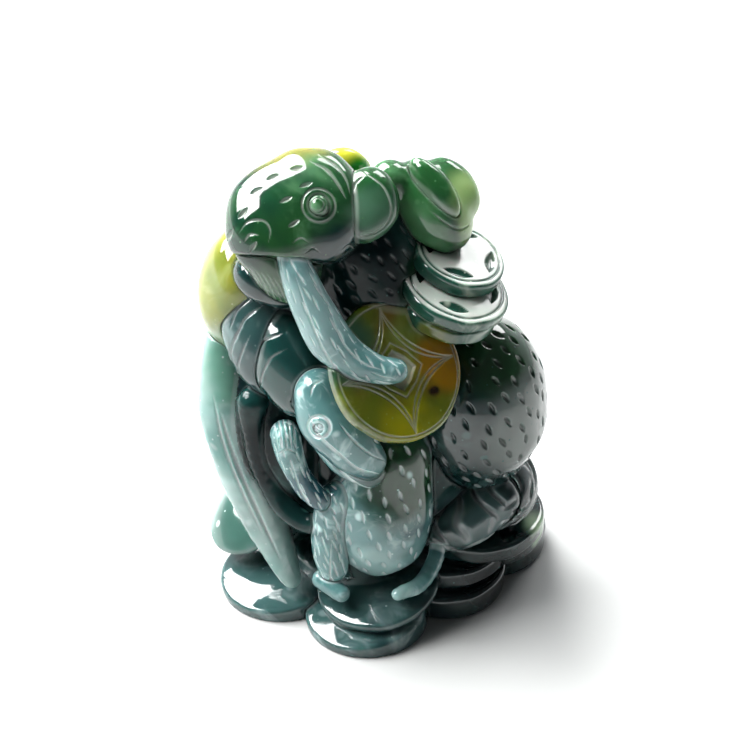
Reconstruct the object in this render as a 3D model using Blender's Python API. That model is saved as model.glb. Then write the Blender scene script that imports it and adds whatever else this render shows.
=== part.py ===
"""A jade hand piece: a big rat over a heap of coins, with a small rat, a money bag and an ingot.

Metres, +Z up, origin on the surface it stands on, under the middle of its outline.
The stone is divided along the carver's grooves, and each carved element is one object.
"""

import math

import bmesh
import bpy
from mathutils import Euler, Matrix, Vector

MM = 0.001

# ---- Overall sizes. The layout below is drawn on a 46 x 40 x 68 mm block, and follows them.
WIDTH = 46 * MM
DEPTH = 40 * MM
HEIGHT = 69 * MM
STRETCH = Vector((WIDTH / 46, DEPTH / 40, HEIGHT / 68))

# Coins and limbs grow with the outline, so that a wider or deeper block keeps its neighbours.
SPREAD = max(WIDTH / 46, DEPTH / 40) / MM

# ---- Groove between two elements, which is also the clearance of every fit.
GAP = 0.3 * MM

# ---- Coins.
BASE_COIN_RADIUS = 8.3 * MM
BASE_COIN_THICKNESS = 3.8 * MM
UPPER_COIN_THICKNESS = 2.7 * MM
HELD_COIN_RADIUS = 9.3 * MM
HELD_COIN_THICKNESS = 2.3 * MM
SHOULDER_COIN_RADIUS = 6.9 * MM
SHOULDER_COIN_THICKNESS = 2.6 * MM
LEANING_COIN_RADIUS = 7.0 * MM
LEANING_COIN_RISE = 5.6 * MM  # from the top of the lowest coins to its middle
COIN_ROUNDING = 0.5 * MM

# ---- The flat stone left between the coins, which the bodies sit on.
CORE_RADIUS = 12.6 * MM
CORE_HEIGHT = 6.4 * MM

# ---- Limbs and tails: each is the radius of the thickest place.
FORELEG_RADIUS = 2.3 * MM
SMALL_RAT_LIMB_RADIUS = 2.3 * MM
BIG_TAIL_RADIUS = 1.8 * MM
SMALL_TAIL_RADIUS = 1.1 * MM

# ---- The rolled edges of the bag: the radius of the thickest place.
BAG_FOLD_RADIUS = 3.0 * MM

# ---- Eyes: a domed ball in a socket.
BIG_EYE_RADIUS = 1.35 * MM
SMALL_EYE_RADIUS = 1.2 * MM

# ---- How finely round forms are drawn.
BALL_SEGMENTS = 12
BALL_RINGS = 8
DISC_SEGMENTS = 20
TUBE_SEGMENTS = 8
SHARP_ANGLE = 40  # degrees between two faces from which their edge is drawn sharp

# ---- The stone.
POLISH_ROUGHNESS = 0.08
TRANSLUCENT_SHARE = 0.6
TRANSLUCENT_REACH = 2 * MM


def spot(x, y, z):
    """A place in the layout, in millimetres of the 46 x 40 x 68 block."""
    return Vector((x * STRETCH.x, y * STRETCH.y, z * STRETCH.z))


# ---------------------------------------------------------------- forms
# A form is a function that takes how far to grow and returns a closed bmesh.


def ball(place, radii, turn=(0, 0, 0)):
    """An ellipsoid, with its radii in layout millimetres, turned by degrees about X, Y and Z."""
    centre = spot(*place)
    size = spot(*radii)

    def make(grow):
        shape = bmesh.new()
        bmesh.ops.create_uvsphere(shape, u_segments=BALL_SEGMENTS, v_segments=BALL_RINGS, radius=1)
        spin = Euler([math.radians(angle) for angle in turn]).to_matrix().to_4x4()
        scale = Matrix.Diagonal((size.x + grow, size.y + grow, size.z + grow, 1))
        shape.transform(Matrix.Translation(centre) @ spin @ scale)
        return shape

    return make


def bead(place, radius):
    """A round ball of its own radius."""
    centre = spot(*place)

    def make(grow):
        shape = bmesh.new()
        bmesh.ops.create_uvsphere(
            shape,
            u_segments=BALL_SEGMENTS,
            v_segments=BALL_RINGS,
            radius=radius * SPREAD + grow,
        )
        shape.transform(Matrix.Translation(centre))
        return shape

    return make


def disc(centre, normal, radius, thickness):
    """A coin with rounded edges, centred on a point, its faces square to the normal."""
    turn = Vector(normal).to_track_quat("Z", "Y").to_matrix().to_4x4()

    def make(grow):
        shape = bmesh.new()
        bmesh.ops.create_cone(
            shape,
            cap_ends=True,
            segments=DISC_SEGMENTS,
            radius1=radius * SPREAD + grow,
            radius2=radius * SPREAD + grow,
            depth=thickness + 2 * grow,
        )
        rims = [e for e in shape.edges if abs(e.verts[0].co.z - e.verts[1].co.z) < 1e-7]
        bmesh.ops.bevel(shape, geom=rims, offset=COIN_ROUNDING, segments=1, affect="EDGES")
        shape.transform(Matrix.Translation(centre) @ turn)
        return shape

    return make


def tube(stations, thickest):
    """A limb through stations (x, y, z, share of the thickest radius), with rounded ends."""
    points = [spot(*station[:3]) for station in stations]
    radii = [station[3] * thickest * SPREAD for station in stations]

    def make(grow):
        route = [(p, r + grow) for p, r in zip(points, radii)]
        along = [points[1] - points[0]]
        along += [points[i + 1] - points[i - 1] for i in range(1, len(points) - 1)]
        along += [points[-1] - points[-2]]
        along = [a.normalized() for a in along]
        rings = []
        for angle in (75, 40):
            back = route[0][1] * math.sin(math.radians(angle))
            rings.append((route[0][0] - along[0] * back, along[0], route[0][1], angle))
        rings += [(p, a, r, 0) for (p, r), a in zip(route, along)]
        for angle in (40, 75):
            ahead = route[-1][1] * math.sin(math.radians(angle))
            rings.append((route[-1][0] + along[-1] * ahead, along[-1], route[-1][1], angle))
        shape = bmesh.new()
        side = along[0].orthogonal()
        loops = []
        for centre, axis, radius, angle in rings:
            side = (side - axis * side.dot(axis)).normalized()
            across = axis.cross(side)
            narrow = radius * math.cos(math.radians(angle))
            loop = []
            for i in range(TUBE_SEGMENTS):
                a = math.tau * i / TUBE_SEGMENTS
                point = centre + (side * math.cos(a) + across * math.sin(a)) * narrow
                loop.append(shape.verts.new(point))
            loops.append(loop)
        for low, high in zip(loops, loops[1:]):
            for i in range(TUBE_SEGMENTS):
                j = (i + 1) % TUBE_SEGMENTS
                shape.faces.new((low[i], low[j], high[j], high[i]))
        shape.faces.new(list(reversed(loops[0])))
        shape.faces.new(loops[-1])
        return shape

    return make


def trimmed(form, place, away):
    """A form with everything beyond a plane cut off."""
    away = Vector(away).normalized()

    def make(grow):
        shape = form(grow)
        everything = shape.verts[:] + shape.edges[:] + shape.faces[:]
        cut = bmesh.ops.bisect_plane(
            shape,
            geom=everything,
            plane_co=spot(*place) + away * grow,
            plane_no=away,
            clear_outer=True,
        )
        rim = [part for part in cut["geom_cut"] if isinstance(part, bmesh.types.BMEdge)]
        bmesh.ops.holes_fill(shape, edges=rim)
        return shape

    return make


# ---------------------------------------------------------------- elements
# Each is (name, colour, forms). An element keeps its whole shape against those after it.


def eyes():
    pale = (0.20, 0.36, 0.25)
    return [
        ("big_rat_near_eye", pale, [bead((-6.9, -7.6, 63.9), BIG_EYE_RADIUS)]),
        ("big_rat_far_eye", pale, [bead((-11.4, 2.3, 62.4), BIG_EYE_RADIUS)]),
        ("small_rat_eye", pale, [bead((-6.6, -15.5, 35.8), SMALL_EYE_RADIUS)]),
    ]


def foreleg():
    arm = [
        (-10.6, -9.6, 58.4, 0.75),
        (-9.2, -11.4, 55.4, 1.0),
        (-7.6, -12.8, 51.8, 1.12),
        (-5.4, -13.9, 48.0, 1.2),
        (-2.6, -14.6, 45.4, 1.0),
        (0.2, -14.9, 44.2, 0.8),
        (2.9, -15.0, 43.9, 0.68),
    ]
    return [("big_rat_foreleg", (0.16, 0.36, 0.36), [tube(arm, FORELEG_RADIUS)])]


def held_coin():
    place = spot(2.7, -12.6, 42.0)
    coin = disc(place, (0.45, -0.60, 0.66), HELD_COIN_RADIUS, HELD_COIN_THICKNESS)
    return [("held_coin", (0.42, 0.36, 0.04), [coin])]


def big_rat_head():
    green = (0.05, 0.20, 0.07)
    lip = (-12.0, 8.5, 44.2)
    below = (-0.11, -0.59, -0.80)
    head = [
        trimmed(ball((-8.1, -3.6, 60.8), (7.3, 5.4, 8.0), (-50, 0, 0)), lip, below),
        trimmed(ball((-12.9, -6.1, 60.5), (6.0, 4.6, 6.8), (-50, 0, 0)), lip, below),
    ]
    near_ear = [ball((-0.9, -3.6, 61.4), (4.2, 3.0, 5.0), (-48, 12, -8))]
    far_ear = [ball((-4.2, 5.0, 61.2), (3.9, 2.4, 3.3), (15, 10, 10))]
    jaw = [
        ball((-13.2, -6.0, 56.2), (4.6, 4.2, 3.6), (0, 25, 0)),
        ball((-10.6, -6.4, 53.6), (4.2, 4.0, 4.4), (0, 25, 0)),
    ]
    return [
        ("big_rat_near_ear", green, near_ear),
        ("big_rat_far_ear", (0.45, 0.42, 0.05), far_ear),
        ("big_rat_head", green, head),
        ("big_rat_jaw", green, jaw),
    ]


def ingot():
    green = (0.06, 0.16, 0.08)
    lean = (0, 38, -40)
    dome = [ball((7.9, 0.4, 61.4), (4.8, 1.8, 2.1), lean)]
    hull = [
        ball((7.5, 1.7, 57.9), (6.7, 4.5, 4.6), lean),
        ball((10.4, 3.4, 59.6), (4.4, 2.6, 2.8), lean),
        ball((2.2, 2.2, 61.0), (2.9, 2.8, 3.0)),
    ]
    return [("ingot_dome", green, dome), ("ingot_hull", green, hull)]


def shoulder_coins():
    """Three coins stacked at the shoulder, each under the last and shifted outwards."""
    green = (0.04, 0.15, 0.09)
    normal = Vector((0.30, -0.10, 0.95)).normalized()
    top = spot(11.0, -1.0, 51.6)
    slide = spot(0.4, -3.1, 0)
    pitch = SHOULDER_COIN_THICKNESS + GAP
    shifts = (Vector(), slide, slide * 0.9)
    names = ("shoulder_coin_top", "shoulder_coin_middle", "shoulder_coin_bottom")
    shares = (0.90, 1.06, 0.98)
    coins = []
    for i, (name, shift, share) in enumerate(zip(names, shifts, shares)):
        place = top - normal * pitch * i + shift
        coin = disc(place, normal, SHOULDER_COIN_RADIUS * share, SHOULDER_COIN_THICKNESS)
        coins.append((name, green, [coin]))
    return coins


def small_rat():
    teal = (0.16, 0.34, 0.34)
    head = [
        (-7.2, -11.6, 38.2, 1.35),
        (-5.6, -13.0, 35.0, 1.75),
        (-3.0, -14.2, 31.8, 1.5),
        (-0.8, -14.8, 29.6, 1.1),
    ]
    jaw = [(-5.8, -12.0, 31.0, 1.05), (-3.2, -13.4, 28.4, 1.0), (-0.4, -14.2, 27.0, 0.85)]
    forepaw = [
        (-11.6, -10.3, 30.4, 0.85),
        (-10.6, -11.4, 26.6, 0.72),
        (-9.2, -12.0, 23.6, 0.66),
        (-7.0, -12.4, 21.0, 0.6),
    ]
    hind_leg = [(-5.0, -11.0, 20.0, 1.1), (-5.8, -12.4, 14.5, 1.1), (-5.4, -13.2, 10.4, 0.9)]
    foot = [(-7.0, -13.4, 8.4, 0.55), (-4.2, -15.4, 7.6, 0.5)]
    tail = [
        (8.8, -8.2, 13.8, 0.9),
        (8.4, -11.0, 10.4, 1.0),
        (6.2, -14.2, 8.2, 0.95),
        (3.4, -15.8, 7.8, 0.8),
    ]
    body = [
        ball((0.8, -8.6, 16.6), (7.3, 6.9, 9.6), (-8, 0, 0)),
        ball((2.9, -7.8, 24.0), (5.0, 5.2, 6.4), (0, 10, 0)),
    ]
    radius = SMALL_RAT_LIMB_RADIUS
    return [
        ("small_rat_head", teal, [tube(head, radius)]),
        ("small_rat_jaw", teal, [tube(jaw, radius)]),
        ("small_rat_ear", teal, [ball((-9.6, -10.2, 36.6), (2.0, 1.6, 2.4), (0, -20, 0))]),
        ("small_rat_forepaw", teal, [tube(forepaw, radius)]),
        ("small_rat_hind_leg", teal, [tube(hind_leg, radius)]),
        ("small_rat_foot", teal, [tube(foot, radius)]),
        ("small_rat_tail", teal, [tube(tail, SMALL_TAIL_RADIUS)]),
        ("small_rat_body", teal, body),
    ]


def money_bag():
    lime = (0.42, 0.50, 0.14)
    grey = (0.20, 0.34, 0.26)
    dark = (0.02, 0.12, 0.12)
    pale = (0.38, 0.50, 0.45)
    drape = [
        (-19.8, 0.0, 37.5, 0.9),
        (-19.6, -2.0, 31.0, 1.25),
        (-18.4, -4.0, 24.0, 1.25),
        (-15.8, -6.4, 16.5, 1.05),
        (-12.8, -8.8, 9.6, 0.75),
        (-11.0, -10.2, 5.8, 0.45),
    ]
    cord = [
        (-15.8, -7.4, 33.4, 0.72),
        (-16.0, -7.6, 29.6, 0.5),
        (-15.0, -8.2, 24.0, 0.45),
        (-12.8, -9.4, 19.0, 0.5),
        (-9.8, -10.8, 16.6, 0.5),
        (-7.6, -11.8, 16.6, 0.4),
    ]
    side = [
        ball((-12.6, -1.2, 22.0), (8.2, 8.2, 15.5), (0, -10, 0)),
        ball((-10.5, 1.6, 40.0), (7.8, 7.6, 13.5)),
    ]
    fold = BAG_FOLD_RADIUS
    return [
        ("bag_gather", dark, [ball((-13.0, -3.6, 50.4), (5.2, 4.6, 3.4), (0, 20, 0))]),
        ("bag_front_fold", dark, [ball((-10.6, -6.6, 39.4), (5.2, 4.6, 7.4), (-28, -20, 0))]),
        ("bag_middle_fold", grey, [ball((-14.2, -3.8, 41.2), (5.3, 4.7, 8.0), (-28, -20, 0))]),
        ("bag_back_fold", lime, [ball((-17.5, 2.0, 45.2), (5.5, 6.6, 8.8), (0, 8, 0))]),
        ("bag_cord", dark, [tube(cord, fold)]),
        ("bag_drape", pale, [tube(drape, fold)]),
        ("bag_side", dark, side),
    ]


def big_rat_legs():
    dark = (0.03, 0.12, 0.09)
    foot = [(16.0, -5.2, 15.6, 1.7), (12.4, -7.8, 13.8, 1.5), (9.2, -8.6, 12.4, 1.1)]
    radius = SMALL_RAT_LIMB_RADIUS
    tail = [
        (15.2, 8.6, 12.6, 1.0),
        (11.4, 13.4, 12.0, 1.0),
        (4.0, 16.6, 12.4, 0.95),
        (-5.0, 16.6, 14.2, 0.85),
        (-12.6, 15.0, 17.6, 0.7),
        (-17.6, 12.2, 21.6, 0.5),
    ]
    return [
        ("big_rat_tail", dark, [tube(tail, BIG_TAIL_RADIUS)]),
        ("big_rat_hind_foot", dark, [tube(foot, radius)]),
        ("big_rat_hock", dark, [ball((16.0, -0.4, 14.6), (6.6, 8.0, 5.4))]),
        ("big_rat_right_haunch", dark, [ball((14.0, -0.5, 28.6), (9.4, 10.6, 12.4))]),
        ("big_rat_left_haunch", dark, [ball((-11.0, 6.6, 23.0), (9.4, 9.6, 12.6))]),
    ]


def base_coins():
    """The heap that the rats sit on: whole coins below, thinner ones above them."""
    dark = (0.03, 0.10, 0.10)
    grey = (0.16, 0.24, 0.25)
    up = (0, 0, 1)
    coins = []
    lower = [
        ("front", (-1.0, -11.6), grey),
        ("left", (-12.8, -4.2), grey),
        ("right_front", (9.8, -3.8), dark),
        ("right", (15.8, 5.0), dark),
        ("back", (4.0, 11.6), dark),
        ("left_back", (-10.4, 8.2), dark),
    ]
    for side, (x, y), colour in lower:
        place = spot(x, y, 0) + Vector((0, 0, BASE_COIN_THICKNESS / 2))
        coin = disc(place, up, BASE_COIN_RADIUS, BASE_COIN_THICKNESS)
        coins.append((f"base_coin_{side}", colour, [coin]))
    level = BASE_COIN_THICKNESS + GAP + UPPER_COIN_THICKNESS / 2
    pitch = UPPER_COIN_THICKNESS + GAP
    upper = [
        ("front", (0.6, -10.2), 0, (0.03, -0.03, 1), 1.0),
        ("right_front", (10.4, -3.0), 0, up, 0.9),
        ("right", (15.0, 2.8), 0, up, 1.05),
        ("right_top", (14.2, 0.4), 1, up, 1.12),
        ("back", (4.4, 10.8), 0, up, 1.0),
        ("left_back", (-9.4, 8.6), 0, up, 1.0),
    ]
    for side, (x, y), storey, normal, share in upper:
        place = spot(x, y, 0) + Vector((0, 0, level + storey * pitch))
        coin = disc(place, normal, BASE_COIN_RADIUS * share, UPPER_COIN_THICKNESS)
        coins.append((f"upper_coin_{side}", dark, [coin]))
    place = spot(-17.4, 1.0, 0) + Vector((0, 0, BASE_COIN_THICKNESS + LEANING_COIN_RISE))
    leaning = disc(place, (-0.55, -0.22, 0.80), LEANING_COIN_RADIUS, UPPER_COIN_THICKNESS)
    coins.append(("leaning_coin_left", (0.30, 0.50, 0.38), [leaning]))
    return coins


def big_rat_body():
    dark = (0.01, 0.06, 0.05)
    chest = [
        ball((-1.0, 0.6, 46.0), (9.4, 9.0, 12.0)),
        ball((-3.6, 1.4, 54.6), (7.6, 7.4, 7.0)),
        ball((0.6, 0.2, 40.6), (10.2, 7.8, 11.0)),
    ]
    middle = spot(0.5, 1.0, 0) + Vector((0, 0, CORE_HEIGHT / 2))
    back = [
        ball((0.6, 7.2, 33.0), (14.6, 11.2, 21.5), (6, 0, 0)),
        ball((1.0, 6.0, 17.2), (15.2, 11.6, 12.0)),
    ]
    return [
        ("big_rat_chest", dark, chest),
        ("big_rat_back", dark, back),
        ("big_rat_belly", dark, [ball((1.6, -0.6, 20.6), (13.6, 9.8, 15.4))]),
        ("base_core", dark, [disc(middle, (0, 0, 1), CORE_RADIUS, CORE_HEIGHT)]),
    ]


# ---------------------------------------------------------------- carving


def new_object(name, shape, colour=None):
    mesh = bpy.data.meshes.new(name)
    shape.normal_update()
    shape.to_mesh(mesh)
    shape.free()
    piece = bpy.data.objects.new(name, mesh)
    bpy.context.scene.collection.objects.link(piece)
    if colour:
        mesh.materials.append(jade(name, colour))
    return piece


def jade(name, colour):
    material = bpy.data.materials.new(name + "_jade")
    material.use_nodes = True
    shader = material.node_tree.nodes["Principled BSDF"]
    shader.inputs["Base Color"].default_value = (*colour, 1)
    shader.inputs["Roughness"].default_value = POLISH_ROUGHNESS
    shader.inputs["Metallic"].default_value = 0
    shader.inputs["Subsurface Weight"].default_value = TRANSLUCENT_SHARE
    shader.inputs["Subsurface Scale"].default_value = TRANSLUCENT_REACH
    return material


def boolean(piece, tool, operation):
    """Joins a tool to a piece, or cuts it away, and takes the tool out of the scene."""
    modifier = piece.modifiers.new("carve", "BOOLEAN")
    modifier.operation = operation
    modifier.solver = "EXACT"
    modifier.object = tool
    bpy.context.view_layer.update()
    evaluated = piece.evaluated_get(bpy.context.evaluated_depsgraph_get())
    carved = bpy.data.meshes.new_from_object(evaluated)
    piece.modifiers.clear()
    spent = [piece.data, tool.data]
    piece.data = carved
    bpy.data.objects.remove(tool)
    for mesh in spent:
        bpy.data.meshes.remove(mesh)


def box_of(shape):
    corners = [v.co for v in shape.verts]
    low = Vector([min(c[i] for c in corners) for i in range(3)])
    high = Vector([max(c[i] for c in corners) for i in range(3)])
    return low, high


def apart(one, other):
    return any(one[0][i] > other[1][i] or other[0][i] > one[1][i] for i in range(3))


def keep_largest(piece):
    """Drops the crumbs that a cut leaves, and merges the points it leaves on one place."""
    shape = bmesh.new()
    shape.from_mesh(piece.data)
    bmesh.ops.remove_doubles(shape, verts=shape.verts, dist=1e-7)
    left = set(shape.faces)
    islands = []
    while left:
        island = [left.pop()]
        for face in island:
            for edge in face.edges:
                if len(edge.link_faces) != 2:
                    continue
                for other in edge.link_faces:
                    if other in left:
                        left.remove(other)
                        island.append(other)
        islands.append(island)
    islands.sort(key=lambda island: sum(face.calc_area() for face in island))
    for island in islands[:-1]:
        bmesh.ops.delete(shape, geom=island, context="FACES")
    bmesh.ops.triangulate(shape, faces=shape.faces)
    shape.to_mesh(piece.data)
    shape.free()


def ground():
    """Everything below the surface that the piece stands on."""
    shape = bmesh.new()
    bmesh.ops.create_cube(shape, size=1)
    size = Matrix.Diagonal((4 * WIDTH, 4 * DEPTH, HEIGHT, 1))
    shape.transform(Matrix.Translation((0, 0, -HEIGHT / 2)) @ size)
    return shape


def carve(elements):
    """Builds each element, and cuts it back from every element before it."""
    pieces = []
    earlier = []
    for name, colour, forms in elements:
        piece = new_object(name, forms[0](0), colour)
        for form in forms[1:]:
            boolean(piece, new_object("joined_form", form(0)), "UNION")
        mine = [box_of(form(0)) for form in forms]
        low = min(box[0].z for box in mine)
        if low < -1e-6:
            boolean(piece, new_object("ground", ground()), "DIFFERENCE")
        for form in earlier:
            cutter = form(GAP)
            if all(apart(box_of(cutter), box) for box in mine):
                cutter.free()
                continue
            boolean(piece, new_object("neighbour", cutter), "DIFFERENCE")
        keep_largest(piece)
        piece.data.shade_smooth()
        piece.data.set_sharp_from_angle(angle=math.radians(SHARP_ANGLE))
        pieces.append(piece)
        earlier += forms
    return pieces


def centre(pieces):
    """Puts the origin under the middle of the outline, on the lowest face."""
    corners = [vertex.co for piece in pieces for vertex in piece.data.vertices]
    low = [min(c[i] for c in corners) for i in range(3)]
    high = [max(c[i] for c in corners) for i in range(3)]
    shift = Vector((-(low[0] + high[0]) / 2, -(low[1] + high[1]) / 2, -low[2]))
    for piece in pieces:
        piece.data.transform(Matrix.Translation(shift))


def main():
    for leftover in list(bpy.data.objects):
        bpy.data.objects.remove(leftover)
    elements = eyes() + foreleg() + held_coin() + big_rat_head() + ingot() + shoulder_coins()
    elements += small_rat() + money_bag() + big_rat_legs() + base_coins() + big_rat_body()
    centre(carve(elements))


main()
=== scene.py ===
"""The finished look of the jade hand piece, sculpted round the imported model.

Each carved element is a solid shape given by a distance field in millimetres. It is cut back
from the elements before it, turned into a fine mesh, and then engraved: fur cuts, eye rings,
coin petals and pleats are all real surface. Lengths below are in millimetres unless they say so.
"""

import math

import bpy
import numpy as np
from mathutils import Euler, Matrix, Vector, kdtree


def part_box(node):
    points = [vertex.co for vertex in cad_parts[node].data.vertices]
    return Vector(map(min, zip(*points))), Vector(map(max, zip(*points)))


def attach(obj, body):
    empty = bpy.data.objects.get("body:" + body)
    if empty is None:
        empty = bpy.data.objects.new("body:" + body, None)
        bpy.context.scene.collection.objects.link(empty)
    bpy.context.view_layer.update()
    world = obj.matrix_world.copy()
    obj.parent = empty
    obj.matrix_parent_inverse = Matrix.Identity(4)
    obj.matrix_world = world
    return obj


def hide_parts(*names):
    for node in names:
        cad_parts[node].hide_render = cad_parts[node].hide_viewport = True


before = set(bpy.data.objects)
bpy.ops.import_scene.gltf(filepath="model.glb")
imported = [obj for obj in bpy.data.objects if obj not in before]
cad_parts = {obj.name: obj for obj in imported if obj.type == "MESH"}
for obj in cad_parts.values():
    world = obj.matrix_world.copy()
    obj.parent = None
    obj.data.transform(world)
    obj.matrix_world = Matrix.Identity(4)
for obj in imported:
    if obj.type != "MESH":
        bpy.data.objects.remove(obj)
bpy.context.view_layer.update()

MM = 0.001
FINE = 1.0

# ---- places, from the frame


def middle(node):
    """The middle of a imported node's box."""
    low, high = (np.array(corner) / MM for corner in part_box(node))
    return (low + high) / 2


HELD_COIN_IN_LAYOUT = np.array((2.7, -12.6, 42.0))
RISE = middle("held_coin")[2] / HELD_COIN_IN_LAYOUT[2]
SHIFT = middle("held_coin") - HELD_COIN_IN_LAYOUT * (1, 1, RISE)
SHIFT[2] = 0


def spot(x, y, z):
    """A place in the carving's layout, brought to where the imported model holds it."""
    return np.array((x, y, z * RISE)) + SHIFT


def unit(*direction):
    """A direction of length 1."""
    return np.array(direction, float) / np.linalg.norm(direction)


# ---- places and sizes that elements share

BIG_NEAR_EYE = spot(-6.9, -7.6, 63.9)
BIG_FAR_EYE = spot(-11.4, 2.3, 62.4)
SMALL_EYE = spot(-6.6, -15.5, 35.8)
BIG_EYE_RADIUS = 1.35
SMALL_EYE_RADIUS = 1.2
LIMB_RADIUS = 2.3
BIG_TAIL_RADIUS = 1.8
SMALL_TAIL_RADIUS = 1.1
BAG_FOLD_RADIUS = 3.0
HELD_COIN_RADIUS = 9.3
HELD_COIN_THICKNESS = 2.3
SHOULDER_COIN_RADIUS = 6.9
SHOULDER_COIN_THICKNESS = 2.6
SHOULDER_COIN_PITCH = 2.9
BASE_COIN_RADIUS = 8.3
BASE_COIN_THICKNESS = 3.8
TILTED_COIN_THICKNESS = 5.0
TILTED_COIN_CREST = 4.0  # how high the middle of a tilted coin's face is
UPPER_COIN_THICKNESS = 2.7
UPPER_COIN_MIDDLE = 5.45  # above the surface that the piece stands on
UPPER_COIN_PITCH = 3.0
LEANING_COIN_RADIUS = 7.0
LEANING_COIN_RISE = 5.6
CORE_RADIUS = 12.6
CORE_HEIGHT = 6.4

# ---- distance fields


def length(q):
    return np.sqrt(np.einsum("ij,ij->i", q, q))


def soft_min(a, b, k):
    h = np.maximum(k - np.abs(a - b), 0) / k
    return np.minimum(a, b) - h * h * k / 4


def soft_max(a, b, k):
    return -soft_min(-a, -b, k)


class Form:
    """A shape: its field, below zero inside, and the box that holds it."""

    def __init__(self, field, low, high):
        self.field = field
        self.low = np.array(low, float)
        self.high = np.array(high, float)

    def __call__(self, p):
        return self.field(p)


def turned(turn):
    return np.array(Euler([math.radians(a) for a in turn]).to_matrix())


def ball(centre, radii, turn=(0, 0, 0)):
    radii = np.array(radii, float) * (1, 1, RISE)
    spin = turned(turn)

    def field(p):
        q = (p - centre) @ spin
        near = length(q / radii)
        slope = np.maximum(length(q / radii**2), 1e-6)
        return near * (near - 1) / slope

    reach = np.sqrt(((spin * radii) ** 2).sum(1))
    return Form(field, centre - reach, centre + reach)


def disc(centre, normal, radius, thickness, rounding=0.6):
    """A coin with rounded rims."""
    normal = unit(*normal)

    def field(p):
        q = p - centre
        up = q @ normal
        out = length(q - up[:, None] * normal)
        side = out - radius + rounding
        face = np.abs(up) - thickness / 2 + rounding
        corner = np.hypot(np.maximum(side, 0), np.maximum(face, 0))
        return corner + np.minimum(np.maximum(side, face), 0) - rounding

    reach = radius * np.sqrt(1 - normal**2) + thickness / 2 * np.abs(normal) + 0.1
    return Form(field, centre - reach, centre + reach)


def crowned(form, centre, normal, half, bend):
    """A coin whose top face swells, as the cap of a large ball."""
    normal = unit(*normal)
    heart = centre + normal * (half - bend)

    def field(p):
        return soft_max(form(p), length(p - heart) - bend, 0.5)

    return Form(field, form.low, form.high)


def smooth_route(stations, parts=4):
    """A smooth curve through stations of any number of values each (Catmull-Rom)."""
    s = np.array(stations, float)
    s = np.vstack((2 * s[0] - s[1], s, 2 * s[-1] - s[-2]))
    route = []
    for i in range(1, len(s) - 2):
        a, b, c, d = s[i - 1 : i + 3]
        for t in np.arange(parts) / parts:
            point = 2 * b + (c - a) * t + (2 * a - 5 * b + 4 * c - d) * t**2
            route.append((point + (3 * b - a - 3 * c + d) * t**3) / 2)
    return np.array(route + [s[-2]])


def tube(stations, thickest):
    """A limb through stations (x, y, z, share of the thickest radius)."""
    placed = [(*spot(*s[:3]), s[3] * thickest) for s in stations]
    route = smooth_route(placed)

    def field(p):
        best = None
        for a, b in zip(route[:-1], route[1:]):
            leg = b[:3] - a[:3]
            q = p - a[:3]
            t = np.clip(q @ leg / (leg @ leg), 0, 1)
            q = q - t[:, None] * leg
            d = length(q) - (a[3] + (b[3] - a[3]) * t)
            best = d if best is None else soft_min(best, d, 0.25)
        return best

    reach = route[:, 3:].max() + 0.2
    return Form(field, route[:, :3].min(0) - reach, route[:, :3].max(0) + reach)


def join(*forms, k):
    """Forms grown together, with a fillet that k widens."""

    def field(p):
        d = forms[0](p)
        for form in forms[1:]:
            d = soft_min(d, form(p), k)
        return d

    low = np.min([f.low for f in forms], 0) - k / 4
    high = np.max([f.high for f in forms], 0) + k / 4
    return Form(field, low, high)


def cut_flat(form, place, away):
    """The form with everything beyond a plane cut off."""
    return Form(lambda p: soft_max(form(p), (p - place) @ away, 0.5), form.low, form.high)


def grounded(form):
    """The form with everything below the standing surface cut off."""

    def field(p):
        return soft_max(form(p), -p[:, 2], 0.15)

    return Form(field, np.maximum(form.low, (-99, -99, 0)), form.high)


# ---- fine meshes from fields

BLOCK = 8
EDGES = [(0, 1), (2, 3), (4, 5), (6, 7), (0, 2), (1, 3), (4, 6), (5, 7), (0, 4), (1, 5), (2, 6), (3, 7)]


def sample(form, step):
    """The field on a grid, exact near the surface and only signed elsewhere."""
    low = form.low - 2 * step
    counts = np.ceil((form.high + 2 * step - low) / (BLOCK * step)).astype(int)
    size = BLOCK * step
    centres = [low[i] + (np.arange(counts[i]) + 0.5) * size for i in range(3)]
    grid = np.stack(np.meshgrid(*centres, indexing="ij"), -1).reshape(-1, 3)
    rough = form(grid).reshape(counts)
    sign = np.where(rough < 0, -1.0, 1.0).astype(np.float32) * size
    for axis in range(3):
        sign = np.repeat(sign, BLOCK, axis)
    values = np.pad(sign, ((0, 1), (0, 1), (0, 1)), mode="edge")
    active = np.argwhere(np.abs(rough) < size * 1.35)
    offset = np.stack(np.meshgrid(*[np.arange(BLOCK + 1)] * 3, indexing="ij"), -1).reshape(-1, 3)
    for start in range(0, len(active), 512):
        index = (active[start : start + 512, None] * BLOCK + offset[None]).reshape(-1, 3)
        found = form(low + index * step)
        values[index[:, 0], index[:, 1], index[:, 2]] = found
    return low, values


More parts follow.
